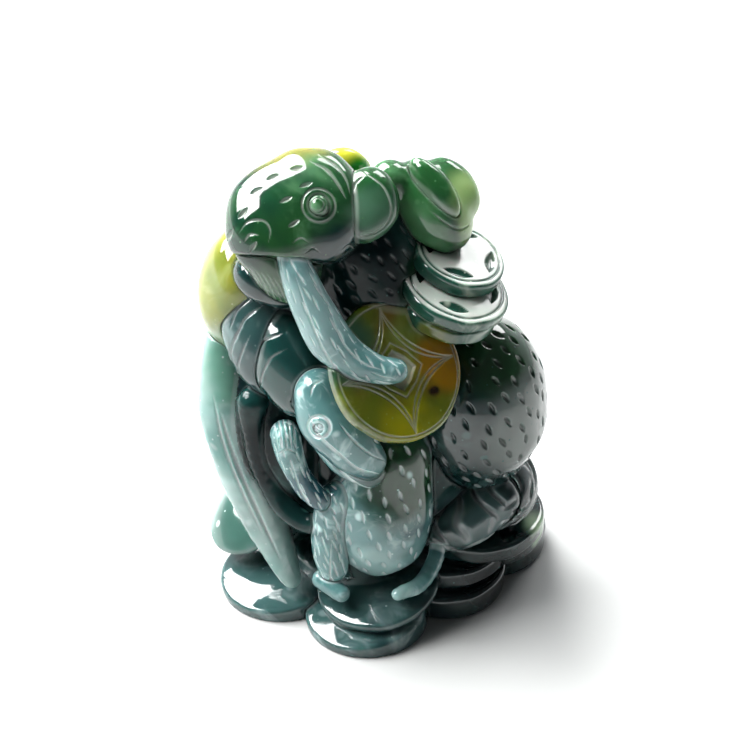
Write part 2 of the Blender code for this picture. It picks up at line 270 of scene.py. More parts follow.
def net(form, step):
    """A closed quad mesh of the field's surface, with its points moved onto it."""
    low, values = sample(form, step)
    inside = values < 0
    corners = [(i, j, k) for i in (0, 1) for j in (0, 1) for k in (0, 1)]
    shape = [n - 1 for n in values.shape]
    total = np.zeros(shape, np.int8)
    for i, j, k in corners:
        total += inside[i : i + shape[0], j : j + shape[1], k : k + shape[2]]
    cells = np.argwhere((total > 0) & (total < 8))
    at = [values[cells[:, 0] + i, cells[:, 1] + j, cells[:, 2] + k] for i, j, k in corners]
    point = np.zeros((len(cells), 3))
    hits = np.zeros(len(cells))
    spots = np.array(corners, float)
    for a, b in EDGES:
        cross = (at[a] < 0) != (at[b] < 0)
        gap = np.where(cross, at[a] - at[b], 1)
        t = np.where(cross, at[a] / gap, 0)[:, None]
        point += cross[:, None] * (spots[a] + t * (spots[b] - spots[a]))
        hits += cross
    vertices = low + (cells + point / hits[:, None]) * step
    number = np.full(shape, -1, np.int32)
    number[tuple(cells.T)] = np.arange(len(cells))
    quads = []
    for axis in range(3):
        u, v = (axis + 1) % 3, (axis + 2) % 3
        first = [slice(None)] * 3
        second = [slice(None)] * 3
        first[axis] = slice(0, -1)
        second[axis] = slice(1, None)
        start, end = inside[tuple(first)], inside[tuple(second)]
        for flip, mask in ((False, start & ~end), (True, end & ~start)):
            found = np.argwhere(mask)
            found = found[(found[:, u] > 0) & (found[:, v] > 0)]
            ring = []
            for du, dv in ((0, 0), (1, 0), (1, 1), (0, 1)):
                cell = found.copy()
                cell[:, u] -= du
                cell[:, v] -= dv
                ring.append(number[tuple(cell.T)])
            ring = np.stack(ring, 1)
            quads.append(ring[:, ::-1] if flip else ring)
    quads = np.concatenate(quads)
    for _ in range(2):
        vertices = settle(form, vertices, step)
    return vertices, quads


FOUR_WAYS = np.array(((1, -1, -1), (-1, -1, 1), (-1, 1, -1), (1, 1, 1)), float)


def slope(form, p, h=0.02):
    """The field's gradient, from four samples round each point."""
    found = 0
    for way in FOUR_WAYS:
        found = found + form(p + way * h)[:, None] * way
    return found / (4 * h)


def settle(form, p, step):
    """Points one Newton step nearer the surface, never further than half a cell."""
    d = form(p)
    g = slope(form, p)
    move = -d[:, None] * g / np.maximum((g * g).sum(1), 0.05)[:, None]
    far = length(move)[:, None]
    return p + move * np.minimum(1, 0.5 * step / np.maximum(far, 1e-9))


# ---- engraving
# A detail takes points and normals and returns how deep to cut at each point.


def bowl(x):
    """A smooth cut: full depth at 0, nothing from 1 on."""
    return np.clip(1 - x * x, 0, 1) ** 1.5


def ring(centre, radius, width, depth):
    """A round groove at a distance from a point."""

    def detail(p, n):
        return depth * bowl((length(p - centre) - radius) / width)

    return detail


def line_distance(q, line):
    """How far points on a drawing are from a line, and how far along it they fall."""
    best = np.full(len(q), 1e9)
    along = np.zeros(len(q))
    for i, (a, b) in enumerate(zip(line[:-1], line[1:])):
        leg = b - a
        t = np.clip((q - a) @ leg / max(leg @ leg, 1e-9), 0, 1)
        d = np.hypot(*(q - a - t[:, None] * leg).T)
        closer = d < best
        best[closer] = d[closer]
        along[closer] = (i + t[closer]) / (len(line) - 1)
    return best, along


# The drawing is the front view, tilted back so that it lies square to the camera. Its two
# coordinates are millimetres across and up from the middle of the figure.
DRAWING_TILT = math.radians(36.5)
DRAWING_MIDDLE = np.array((0, 0, 33.0))
EYE_DISTANCE = 420.0
TOWARDS_EYE = np.array((0, -math.cos(DRAWING_TILT), math.sin(DRAWING_TILT)))
UP_THE_DRAWING = np.array((0, math.sin(DRAWING_TILT), math.cos(DRAWING_TILT)))


def drawn(p):
    q = p - DRAWING_MIDDLE
    scale = EYE_DISTANCE / (EYE_DISTANCE - q @ TOWARDS_EYE)
    return np.stack((q[:, 0] * scale, q @ UP_THE_DRAWING * scale), 1)


def stroke(points, width, depth, taper=0.35):
    """A groove along a line on the drawing, thinner towards its ends."""
    line = smooth_route(points, 5)

    def detail(p, n):
        q = drawn(p)
        found = np.zeros(len(p))
        reach = (q > line.min(0) - width).all(1) & (q < line.max(0) + width).all(1)
        near = np.flatnonzero(reach & (n @ TOWARDS_EYE > 0.1))
        if not len(near):
            return found
        d, t = line_distance(q[near], line)
        end = np.clip(np.minimum(t, 1 - t) / max(taper, 1e-6), 0, 1) ** 0.5
        found[near] = depth * end * bowl(d / (width * np.maximum(end, 0.3)))
        return found

    return detail


def strokes(*lines):
    return [stroke(*line) for line in lines]


NICK_HALF_LENGTH = 0.95
NICK_HALF_WIDTH = 0.36
NICK_DEPTH = 0.3


def nick(x, up, angle):
    """A lens-shaped cut at a place on the drawing, turned by an angle in degrees."""
    way = np.array((math.cos(math.radians(angle)), math.sin(math.radians(angle))))

    def detail(p, n):
        q = drawn(p) - (x, up)
        u = q @ way
        v = q[:, 0] * -way[1] + q[:, 1] * way[0]
        share = np.clip(1 - (u / NICK_HALF_LENGTH) ** 2, 0, 1)
        inside = np.abs(v) / (NICK_HALF_WIDTH * np.maximum(share, 0.05))
        facing = n @ TOWARDS_EYE > 0.1
        return NICK_DEPTH * facing * np.sqrt(share) * bowl(inside)

    return detail


COIN_TURN = -8.0  # degrees
COIN_PETAL = 0.45  # from the middle to a petal, as a share of the radius
COIN_HOLE = 0.24  # half the square's side, as a share of the radius
COIN_LINE = 0.15  # half the width of an engraved line
COIN_CUT = 0.2


def coin_face(centre, normal, radius):
    """An old coin's face: four petals between arcs, a square hole, and a ring inside the rim."""
    side = unit(*np.cross((0, 0, 1), normal))
    upward = np.cross(normal, side)
    tip = 0.9 * radius

    def arc(closest):
        far = (tip**2 - closest**2) / (2 * (tip * math.cos(math.pi / 4) - closest))
        return far, far - closest

    arcs = [arc(COIN_PETAL * radius), arc(COIN_PETAL * radius * 0.84)]

    def detail(p, n):
        q = p - centre
        found = np.zeros(len(p))
        near = np.flatnonzero((n @ normal > 0.6) & (np.abs(q @ normal) < 3))
        u, v = q[near] @ side, q[near] @ upward
        out = np.hypot(u, v)
        deep = COIN_CUT * bowl((out - 0.93 * radius) / (COIN_LINE * 1.2)) * 0.8
        for k in range(4):
            angle = math.radians(COIN_TURN + 45 + 90 * k)
            for far, reach in arcs:
                d = np.abs(np.hypot(u - far * math.cos(angle), v - far * math.sin(angle)) - reach)
                deep = np.maximum(deep, COIN_CUT * bowl(d / COIN_LINE) * (out < tip))
        a = math.radians(COIN_TURN + 45)
        s = np.abs(u * math.cos(a) + v * math.sin(a))
        t = np.abs(-u * math.sin(a) + v * math.cos(a))
        square = np.maximum(s, t) + 0.12 * np.minimum(s, t)
        hole = COIN_HOLE * radius
        deep = np.maximum(deep, 2.2 * COIN_CUT * np.clip((hole - square) / 0.25, 0, 1))
        deep = np.maximum(deep, 0.8 * COIN_CUT * bowl((square - hole * 1.3) / COIN_LINE))
        found[near] = deep
        return found

    return detail


def folds(direction, spacing, depth, seed):
    """Wandering creases, across a direction."""
    rng = np.random.default_rng(seed)
    way = unit(*direction)
    waves = [(rng.normal(0, 0.35, 3), rng.uniform(0, 6.3), rng.uniform(0.5, 1.2)) for _ in range(4)]

    def detail(p, n):
        bend = sum(a * np.sin(p @ w + f) for w, f, a in waves)
        x = (p @ way) * 2 * math.pi / spacing + 1.3 * bend
        strength = 0.5 + 0.5 * np.sin(p @ waves[0][0] * 2.3 + 1)
        return depth * strength * (0.5 + 0.5 * np.cos(x)) ** 5

    return detail


def cuts(p, centres, along, half_length, half_width, depth):
    """How deep lens-shaped cuts go at each point, for cuts at given centres and directions."""
    deep = np.zeros(len(p))
    tree = kdtree.KDTree(len(p))
    for i, point in enumerate(p):
        tree.insert(point, i)
    tree.balance()
    for c, a in zip(centres, along):
        near = np.array([found[1] for found in tree.find_range(c, half_length)], int)
        if not len(near):
            continue
        q = p[near] - c
        u = q @ a
        across = length(q - u[:, None] * a)
        share = np.clip(1 - (u / half_length) ** 2, 0, 1)
        cut = depth * np.sqrt(share) * bowl(across / (half_width * np.maximum(share, 0.05)))
        deep[near] = np.maximum(deep[near], cut)
    return deep


def fur(p, n, free, flow, spacing, seed):
    """Places for fur cuts, evenly scattered over the free surface and combed along the flow."""
    rng = np.random.default_rng(seed)
    order = rng.permutation(np.flatnonzero(free))
    taken = {}
    chosen = []
    for index in order:
        point = p[index]
        cell = tuple((point // spacing).astype(int))
        near = (
            taken.get((cell[0] + i, cell[1] + j, cell[2] + k), ())
            for i in (-1, 0, 1)
            for j in (-1, 0, 1)
            for k in (-1, 0, 1)
        )
        if any(((point - p[other]) ** 2).sum() < spacing**2 for group in near for other in group):
            continue
        taken.setdefault(cell, []).append(index)
        chosen.append(index)
    chosen = np.array(chosen, int)
    along = np.tile(unit(*flow), (len(chosen), 1))
    normal = n[chosen]
    along = along - (along * normal).sum(1)[:, None] * normal
    along += rng.normal(0, 0.08, along.shape)
    along /= np.maximum(length(along), 1e-6)[:, None]
    return p[chosen], along


# ---- elements

ELEMENTS = []


def element(name, form, finish, step=0.2, details=(), hair=None, frost_and_painted_reflection=0.5, face=None):
    """Adds a carved element; a later one is cut back from it.

    The step is the mesh's fineness. The frost value is how white its frosted cuts are. A face is the normal
    of a side painted white all over, a painted reflection of a window on it.
    """
    looks = dict(finish=finish, step=step, details=details, hair=hair, frost_and_painted_reflection=frost_and_painted_reflection, face=face)
    ELEMENTS.append(dict(name=name, form=form, **looks))


def sculpt_eyes():
    """Domed eyes with a ring cut round the pupil, each turned the way it looks."""
    big = (
        ("big_rat_near_eye", BIG_NEAR_EYE, (-0.1, -0.75, 0.6)),
        ("big_rat_far_eye", BIG_FAR_EYE, (-0.43, 0.9, -0.1)),
    )
    for name, place, looking in big:
        iris = [ring(place + np.array(looking) * BIG_EYE_RADIUS, 0.95, 0.16, 0.16)]
        element(name, ball(place, (BIG_EYE_RADIUS,) * 3), "jade_head_green", 0.08, iris)
    pupil = SMALL_EYE + np.array((-0.1, -0.8, 0.6)) * SMALL_EYE_RADIUS
    iris = [ring(pupil, 0.5, 0.16, 0.2), ring(pupil, 1.05, 0.16, 0.16)]
    eye = ball(SMALL_EYE, (SMALL_EYE_RADIUS,) * 3)
    element("small_rat_eye", eye, "jade_light_teal", 0.08, iris, frost_and_painted_reflection=1.0)


def sculpt_foreleg():
    arm = [
        (-10.6, -9.6, 58.4, 0.75),
        (-9.2, -11.4, 55.4, 1.0),
        (-7.6, -12.8, 51.8, 1.12),
        (-5.4, -13.9, 48.0, 1.2),
        (-2.6, -14.6, 45.4, 1.0),
        (0.2, -14.9, 44.2, 0.8),
        (2.9, -15.0, 43.9, 0.68),
    ]
    hair = dict(flow=(0.45, -0.3, -0.85), spacing=1.5, size=(1.3, 0.2, 0.2), seed=3)
    edges = strokes(
        ([(-10.6, 13.2), (-8.8, 7.8), (-6.6, 2.8), (-3.9, -0.6), (-1.2, -2.4)], 0.22, 0.25),
        ([(-5.9, 8.4), (-4.2, 4.2), (-1.6, 1.6), (1.2, 0.6)], 0.2, 0.2),
        ([(-0.6, 0.4), (1.0, -0.3), (2.6, -0.5)], 0.18, 0.24),
        ([(-0.2, -0.7), (1.2, -1.1), (2.5, -1.2)], 0.18, 0.24),
        ([(-3.4, 0.2), (-1.4, -0.9), (0.4, -1.6), (2.2, -1.9)], 0.18, 0.24),
    )
    limb = tube(arm, LIMB_RADIUS)
    element("big_rat_foreleg", limb, "jade_light_teal", 0.11, edges, hair, frost_and_painted_reflection=0.9)


HELD_NORMAL = unit(0.45, -0.60, 0.66)


def sculpt_held_coin():
    place = spot(*HELD_COIN_IN_LAYOUT)
    coin = disc(place, HELD_NORMAL, HELD_COIN_RADIUS, HELD_COIN_THICKNESS, 0.8)
    face = [coin_face(place, HELD_NORMAL, HELD_COIN_RADIUS)]
    element("held_coin", coin, "jade_amber", 0.11, face)


def sculpt_big_rat_head():
    green = "jade_head_green"
    skull = join(
        ball(spot(-8.1, -3.6, 60.8), (7.3, 5.4, 8.0), (-50, 0, 0)),
        ball(spot(-12.9, -6.1, 60.5), (6.0, 4.6, 6.8), (-50, 0, 0)),
        k=3.0,
    )
    mouth = np.array((-0.11, -0.99 * UP_THE_DRAWING[1], -0.99 * UP_THE_DRAWING[2]))
    lip = DRAWING_MIDDLE + np.array((-12.0, 0, 0)) + UP_THE_DRAWING * 14.7
    skull = cut_flat(skull, lip, mouth)
    near_ear = ball(spot(-0.9, -3.6, 61.4), (4.2, 3.0, 5.0), (-48, 12, -8))
    far_ear = ball(spot(-4.2, 5.0, 61.2), (3.9, 2.4, 3.3), (15, 10, 10))
    jaw = join(
        ball(spot(-13.2, -6.0, 56.2), (4.6, 4.2, 3.6), (0, 25, 0)),
        ball(spot(-10.6, -6.4, 53.6), (4.2, 4.0, 4.4), (0, 25, 0)),
        k=2.0,
    )
    ear_rim = strokes(
        ([(-1.6, 27.2), (1.2, 25.0), (2.2, 21.6), (0.6, 19.2), (-2.4, 18.4)], 0.2, 0.2, 0.3),
        ([(-3.2, 24.2), (-2.6, 25.6), (-1.6, 26.4)], 0.2, 0.24),
    )
    element("big_rat_near_ear", near_ear, green, 0.12, ear_rim, frost_and_painted_reflection=0.8)
    element("big_rat_far_ear", far_ear, "jade_olive_yellow", 0.15)
    brow = [
        (-11.9, 23.4, 25),
        (-10.8, 20.2, 32),
        (-16.3, 17.0, 55),
        (-18.6, 15.2, 65),
        (-19.4, 18.6, 65),
        (-15.8, 24.6, 30),
        (-13.6, 26.4, 22),
        (-9.2, 25.4, 20),
        (-10.4, 27.6, 8),
        (-17.6, 21.6, 50),
    ]
    marks = [nick(*place) for place in brow]
    marks.append(ring(BIG_NEAR_EYE, 2.2, 0.2, 0.16))
    marks += strokes(
        ([(-18.2, 18.8), (-17.0, 20.4), (-15.0, 20.6), (-14.0, 19.4), (-14.2, 17.6)], 0.18, 0.2),
        ([(-17.5, 17.6), (-16.7, 18.7), (-15.4, 18.6)], 0.18, 0.2),
        ([(-11.0, 17.5), (-9.9, 18.2), (-8.8, 17.6)], 0.16, 0.14),
        ([(-9.5, 16.1), (-8.3, 16.9), (-7.2, 16.2)], 0.16, 0.14),
        ([(-4.4, 16.6), (-3.4, 17.2), (-2.4, 16.4)], 0.16, 0.14),
        ([(-8.8, 28.6), (-6.4, 27.4), (-4.9, 25.4), (-3.8, 23.4)], 0.24, 0.32),
        ([(-7.6, 29.4), (-5.2, 28.0), (-3.8, 26.0), (-3.3, 24.0)], 0.2, 0.24),
    )
    whiskers = [
        stroke([(-19.2 + 0.8 * i, 15.2 - 0.3 * i), (-17.0 + 0.8 * i, 11.6 - 0.4 * i)], 0.17, 0.3, 0.6)
        for i in range(13)
    ]
    element("big_rat_head", skull, green, 0.12, marks, frost_and_painted_reflection=0.6)
    element("big_rat_jaw", jaw, green, 0.14, whiskers, frost_and_painted_reflection=0.8)


def sculpt_ingot():
    green = "jade_head_green"
    lean = (0, 38, -40)
    dome = ball(spot(7.9, 0.4, 61.4), (4.8, 1.8, 2.1), lean)
    hull = join(
        ball(spot(7.5, 1.7, 57.9), (6.7, 4.5, 4.6), lean),
        ball(spot(10.4, 3.4, 59.6), (4.4, 2.6, 2.8), lean),
        ball(spot(2.2, 2.2, 61.0), (2.9, 2.8, 3.0)),
        k=1.0,
    )
    lines = [stroke([(7.4, 21.9), (9.4, 20.2), (11.4, 19.4), (12.8, 20.2)], 0.2, 0.24)]
    element("ingot_dome", dome, green, 0.15)
    element("ingot_hull", hull, green, 0.15, lines)


SHOULDER_NORMAL = unit(0.30, -0.10, 0.95)


def shoulder_face(centre, radius):
    """Four lens-shaped hollows round a coin's face, inside a ring."""
    side = unit(*np.cross(SHOULDER_NORMAL, TOWARDS_EYE))
    upward = np.cross(SHOULDER_NORMAL, side)
    nicks = []
    for k in range(4):
        angle = math.radians(10 + 90 * k)
        out = side * math.cos(angle) + upward * math.sin(angle)
        across = upward * math.cos(angle) - side * math.sin(angle)
        nicks.append((centre + SHOULDER_NORMAL * SHOULDER_COIN_THICKNESS / 2 + out * 0.66 * radius, across))

    def detail(p, n):
        q = p - centre
        face = n @ SHOULDER_NORMAL > 0.7
        height = q @ SHOULDER_NORMAL
        out = length(q - height[:, None] * SHOULDER_NORMAL)
        deep = 0.16 * bowl((out - 0.86 * radius) / 0.25)
        for place, across in nicks:
            r = p - place
            r = r - (r @ SHOULDER_NORMAL)[:, None] * SHOULDER_NORMAL
            u = r @ across
            v = length(r - u[:, None] * across)
            share = np.clip(1 - (u / 2.1) ** 2, 0, 1)
            deep = np.maximum(deep, 0.5 * np.sqrt(share) * bowl(v / (0.85 * np.maximum(share, 0.05))))
        return deep * face

    return detail


def sculpt_shoulder_coins():
    top = spot(11.0, -1.0, 51.6)
    slide = np.array((0.4, -3.1, 0))
    pile = (("top", 0, 0.9), ("middle", 1, 1.06), ("bottom", 0.9, 0.98))
    for i, (side, shift, share) in enumerate(pile):
        place = top - SHOULDER_NORMAL * SHOULDER_COIN_PITCH * i + slide * shift
        radius = SHOULDER_COIN_RADIUS * share
        coin = disc(place, SHOULDER_NORMAL, radius, SHOULDER_COIN_THICKNESS)
        coin = crowned(coin, place, SHOULDER_NORMAL, SHOULDER_COIN_THICKNESS / 2, 42.0)
        face = [shoulder_face(place, radius)]
        # each flat face is painted white: a painted reflection of the window on the right
        element(f"shoulder_coin_{side}", coin, "jade_shoulder_coin", 0.13, face, face=SHOULDER_NORMAL)


def sculpt_small_rat():
    head = [
        (-7.2, -11.6, 38.2, 1.35),
        (-5.6, -13.0, 35.0, 1.75),
        (-3.0, -14.2, 31.8, 1.5),
        (-0.8, -14.8, 29.6, 1.1),
    ]
    jaw = [(-5.8, -12.0, 31.0, 1.05), (-3.2, -13.4, 28.4, 1.0), (-0.4, -14.2, 27.0, 0.85)]
    forepaw = [
        (-11.6, -10.3, 30.4, 0.85),
        (-10.6, -11.4, 26.6, 0.72),
        (-9.2, -12.0, 23.6, 0.66),
        (-7.0, -12.4, 21.0, 0.6),
    ]
    fingers = [
        stroke([(-13.6 + 0.65 * i, -5.6), (-12.9 + 0.6 * i, -10.0)], 0.2, 0.45, 0.5) for i in range(5)
    ]
    fingers += strokes(
        ([(-13.0, -10.6), (-11.8, -10.0), (-10.4, -10.4)], 0.18, 0.3),
        ([(-12.4, -13.0), (-11.6, -16.0), (-9.6, -19.0), (-7.6, -21.0)], 0.22, 0.26),
        ([(-11.0, -12.0), (-10.0, -15.2), (-8.2, -18.2)], 0.2, 0.22),
    )
    shin = strokes(
        ([(-8.0, -23.0), (-8.4, -27.0), (-7.8, -31.5), (-6.6, -35.0)], 0.22, 0.28),
        ([(-5.8, -22.0), (-6.0, -27.0), (-5.4, -31.5), (-4.4, -35.0)], 0.22, 0.28),
        ([(-7.4, -33.4), (-6.0, -34.2), (-4.6, -33.6)], 0.18, 0.28),
        ([(-7.2, -35.2), (-5.6, -36.2), (-4.0, -35.4)], 0.18, 0.28),
    )
    toes = [
        stroke([(-7.6 + 0.9 * i, -38.0 - 0.4 * i), (-6.9 + 0.9 * i, -40.4 - 0.4 * i)], 0.16, 0.24, 0.6)
        for i in range(5)
    ]
    lick = strokes(
        ([(8.6, -35.0), (8.9, -37.6), (7.6, -40.2), (5.2, -41.6), (2.6, -42.0)], 0.2, 0.26),
        ([(7.0, -38.2), (5.6, -39.8), (3.6, -40.6)], 0.16, 0.2),
    )
    hind_leg = [(-5.0, -11.0, 20.0, 1.1), (-5.8, -12.4, 14.5, 1.1), (-5.4, -13.2, 10.4, 0.9)]
    foot = [(-7.0, -13.4, 8.4, 0.55), (-4.2, -15.4, 7.6, 0.5)]
    tail = [
        (8.8, -8.2, 13.8, 0.9),
        (8.4, -11.0, 10.4, 1.0),
        (6.2, -14.2, 8.2, 0.95),
        (3.4, -15.8, 7.8, 0.8),
    ]
    body = join(
        ball(spot(0.8, -8.6, 16.6), (7.3, 6.9, 9.6), (-8, 0, 0)),
        ball(spot(2.9, -7.8, 24.0), (5.0, 5.2, 6.4), (0, 10, 0)),
        k=2.5,
    )
    teal = "jade_light_teal"
    face = [ring(SMALL_EYE, 1.85, 0.2, 0.3)]
    face += strokes(
        ([(-8.9, -5.2), (-7.6, -7.9), (-5.0, -10.4), (-2.2, -12.6), (0.6, -13.2)], 0.26, 0.3, 0.2),
        ([(-4.8, -6.4), (-3.0, -8.6), (-0.6, -10.6), (1.4, -11.4)], 0.2, 0.25),
        ([(-8.6, -3.0), (-8.2, -1.4), (-6.8, -0.6)], 0.2, 0.2),
        ([(-8.4, -7.4), (-6.4, -9.4), (-3.8, -11.6)], 0.22, 0.22),
        ([(-0.2, -8.6), (0.6, -9.2)], 0.18, 0.18),
    )
    element("small_rat_head", tube(head, LIMB_RADIUS), teal, 0.11, face, frost_and_painted_reflection=1.0)
    lip = [stroke([(-6.6, -10.6), (-4.2, -13.2), (-1.6, -15.0), (0.8, -15.4)], 0.24, 0.3, 0.2)]
    element("small_rat_jaw", tube(jaw, LIMB_RADIUS), teal, 0.12, lip, frost_and_painted_reflection=1.0)
    ear = ball(spot(-9.6, -10.2, 36.6), (2.0, 1.6, 2.4), (0, -20, 0))
    element("small_rat_ear", ear, teal, 0.12)
    hair = dict(flow=(0.3, -0.2, -0.9), spacing=1.2, size=(1.1, 0.2, 0.22), seed=5)
    element("small_rat_forepaw", tube(forepaw, LIMB_RADIUS), teal, 0.11, fingers, hair, frost_and_painted_reflection=1.0)
    element("small_rat_hind_leg", tube(hind_leg, LIMB_RADIUS), teal, 0.12, shin, hair, frost_and_painted_reflection=1.0)
    element("small_rat_foot", tube(foot, LIMB_RADIUS), teal, 0.11, toes, frost_and_painted_reflection=1.0)
    element("small_rat_tail", tube(tail, SMALL_TAIL_RADIUS), teal, 0.12, lick, frost_and_painted_reflection=1.0)
    hair = dict(flow=(0.25, 0.0, -1.0), spacing=2.1, size=(0.95, 0.36, 0.26), seed=7)
    back_line = strokes(
        ([(-3.6, -14.6), (-4.4, -19.0), (-4.6, -24.0), (-3.4, -29.6), (-0.6, -33.6)], 0.26, 0.3),
        ([(9.0, -17.6), (9.8, -22.0), (9.9, -27.0), (8.8, -31.6)], 0.22, 0.2),
    )
    element("small_rat_body", body, teal, 0.14, back_line, hair, frost_and_painted_reflection=0.8)


def sculpt_money_bag():
    drape = [
        (-19.8, 0.0, 37.5, 0.9),
        (-19.6, -2.0, 31.0, 1.25),
        (-18.4, -4.0, 24.0, 1.25),
        (-15.8, -6.4, 16.5, 1.05),
        (-12.8, -8.8, 9.6, 0.75),
        (-11.0, -10.2, 5.8, 0.45),
    ]
    cord = [
        (-15.8, -7.4, 33.4, 0.72),
        (-16.0, -7.6, 29.6, 0.5),
        (-15.0, -8.2, 24.0, 0.45),
        (-12.8, -9.4, 19.0, 0.5),
        (-9.8, -10.8, 16.6, 0.5),
        (-7.6, -11.8, 16.6, 0.4),
    ]
    side = join(
        ball(spot(-12.6, -1.2, 22.0), (8.2, 8.2, 15.5), (0, -10, 0)),
        ball(spot(-10.5, 1.6, 40.0), (7.8, 7.6, 13.5)),
        k=3.0,
    )
    dark = "jade_dark_teal"
    gather = ball(spot(-13.0, -3.6, 50.4), (5.2, 4.6, 3.4), (0, 20, 0))
    front = ball(spot(-10.6, -6.6, 39.4), (5.2, 4.6, 7.4), (-28, -20, 0))
    mid = ball(spot(-14.2, -3.8, 41.2), (5.3, 4.7, 8.0), (-28, -20, 0))
    back = ball(spot(-17.5, 2.0, 45.2), (5.5, 6.6, 8.8), (0, 8, 0))
    pleats = [
        stroke([(-18.9 + 1.2 * i, 10.8 - 0.5 * i), (-18.1 + 1.2 * i, 8.0 - 0.5 * i)], 0.24, 0.34)
        for i in range(8)
    ]
    front_lines = strokes(
        ([(-17.0, 3.2), (-15.4, 6.4), (-12.8, 8.0)], 0.22, 0.3),
        ([(-17.4, -4.6), (-17.0, 0.6), (-15.0, 4.4), (-12.2, 5.6)], 0.26, 0.3),
        ([(-15.4, -7.4), (-15.6, -2.4), (-14.2, 1.8), (-11.6, 3.6)], 0.2, 0.18),
    )
    middle_lines = strokes(
        ([(-19.4, 6.0), (-18.2, 9.0), (-15.6, 11.0)], 0.22, 0.3),
        ([(-18.8, 4.0), (-17.4, 7.4), (-14.8, 9.4)], 0.22, 0.3),
        ([(-19.4, -1.4), (-19.2, 3.6), (-17.2, 7.6)], 0.26, 0.3),
        ([(-18.6, -3.6), (-18.2, 1.6), (-16.6, 5.4)], 0.2, 0.18),
    )
    drape_lines = strokes(
        ([(-20.6, -5.0), (-18.8, -11.0), (-15.8, -18.0), (-12.6, -24.6)], 0.4, 0.4),
        ([(-21.6, -2.6), (-20.4, -8.6), (-18.0, -15.0), (-14.8, -21.6)], 0.3, 0.22),
    )
    element("bag_gather", gather, dark, 0.14, pleats)
    element("bag_front_fold", front, dark, 0.17, front_lines)
    element("bag_middle_fold", mid, "jade_grey_green", 0.17, middle_lines)
    element("bag_back_fold", back, "jade_lime", 0.2)
    element("bag_cord", tube(cord, BAG_FOLD_RADIUS), "jade_deep", 0.18)
    element("bag_drape", tube(drape, BAG_FOLD_RADIUS), "jade_pale", 0.18, drape_lines)
    element("bag_side", side, "jade_deep", 0.3)


def sculpt_big_rat_legs():
    dark = "jade_dark_teal"
    foot = [(16.0, -5.2, 15.6, 1.7), (12.4, -7.8, 13.8, 1.5), (9.2, -8.6, 12.4, 1.1)]
    tail = [
        (15.2, 8.6, 12.6, 1.0),
        (11.4, 13.4, 12.0, 1.0),
        (4.0, 16.6, 12.4, 0.95),
        (-5.0, 16.6, 14.2, 0.85),
        (-12.6, 15.0, 17.6, 0.7),
        (-17.6, 12.2, 21.6, 0.5),
    ]
    element("big_rat_tail", tube(tail, BIG_TAIL_RADIUS), dark, 0.2)
    creases = [folds((0.5, -0.3, 0.8), 2.1, 0.6, 21), folds((-0.3, -0.5, 0.8), 3.1, 0.4, 22)]
    element("big_rat_hind_foot", tube(foot, LIMB_RADIUS), dark, 0.18, creases)
    hock = ball(spot(16.0, -0.4, 14.6), (6.6, 8.0, 5.4))
    element("big_rat_hock", hock, dark, 0.2, creases)
    hair = dict(flow=(0.5, -0.1, -0.9), spacing=2.3, size=(1.0, 0.42, 0.42), seed=11)
    haunch = ball(spot(14.0, -0.5, 28.6), (9.4, 10.6, 12.4))
    element("big_rat_right_haunch", haunch, dark, 0.15, hair=hair, frost_and_painted_reflection=0.0)
    hair = dict(flow=(-0.3, 0.3, -0.9), spacing=2.5, size=(1.0, 0.42, 0.42), seed=12)
    haunch = ball(spot(-11.0, 6.6, 23.0), (9.4, 9.6, 12.6))
    element("big_rat_left_haunch", haunch, "jade_deep", 0.19, hair=hair, frost_and_painted_reflection=0.0)


def sculpt_base_coins():
    up = (0, 0, 1)
    dark = "jade_dark_teal"
    grey = "jade_grey_green"
    lower = [
        ("front", (-1.0, -11.6), (-0.13, -0.11, 1), grey),
        ("left", (-12.8, -4.2), (-0.14, -0.09, 1), grey),
        ("right_front", (9.8, -3.8), up, dark),
        ("right", (15.8, 5.0), up, dark),
        ("back", (4.0, 11.6), up, dark),
        ("left_back", (-10.4, 8.2), up, dark),
    ]
    for side, (x, y), normal, finish in lower:
        level = normal == up
        thick = BASE_COIN_THICKNESS if level else TILTED_COIN_THICKNESS
        crest = BASE_COIN_THICKNESS if level else TILTED_COIN_CREST
        place = spot(x, y, 0) + (0, 0, crest - thick / 2)
        coin = disc(place, normal, BASE_COIN_RADIUS, thick, 0.7)
        if not level:
            coin = crowned(coin, place, normal, thick / 2, 26.0)
        element(f"base_coin_{side}", coin, finish, 0.25)
    upper = [
        ("front", (0.6, -10.2), 0, (-0.13, -0.12, 1), 1.0, grey),
        ("right_front", (10.4, -3.0), 0, up, 0.9, dark),
        ("right", (15.0, 2.8), 0, up, 1.05, dark),
        ("right_top", (14.2, 0.4), 1, up, 1.12, dark),
        ("back", (4.4, 10.8), 0, up, 1.0, dark),
        ("left_back", (-9.4, 8.6), 0, up, 1.0, dark),
    ]
    thick = UPPER_COIN_THICKNESS
    for side, (x, y), storey, normal, share, finish in upper:
        place = spot(x, y, 0) + (0, 0, UPPER_COIN_MIDDLE + UPPER_COIN_PITCH * storey)
        coin = disc(place, normal, BASE_COIN_RADIUS * share, thick)
        if side == "front":
            coin = crowned(coin, place, normal, thick / 2, 24.0)
        element(f"upper_coin_{side}", coin, finish, 0.24)
    place = spot(-17.4, 1.0, 0) + (0, 0, BASE_COIN_THICKNESS + LEANING_COIN_RISE)
    lean = (-0.55, -0.22, 0.80)
    coin = crowned(disc(place, lean, LEANING_COIN_RADIUS, thick), place, lean, thick / 2, 13.0)
    element("leaning_coin_left", coin, "jade_pale", 0.2)


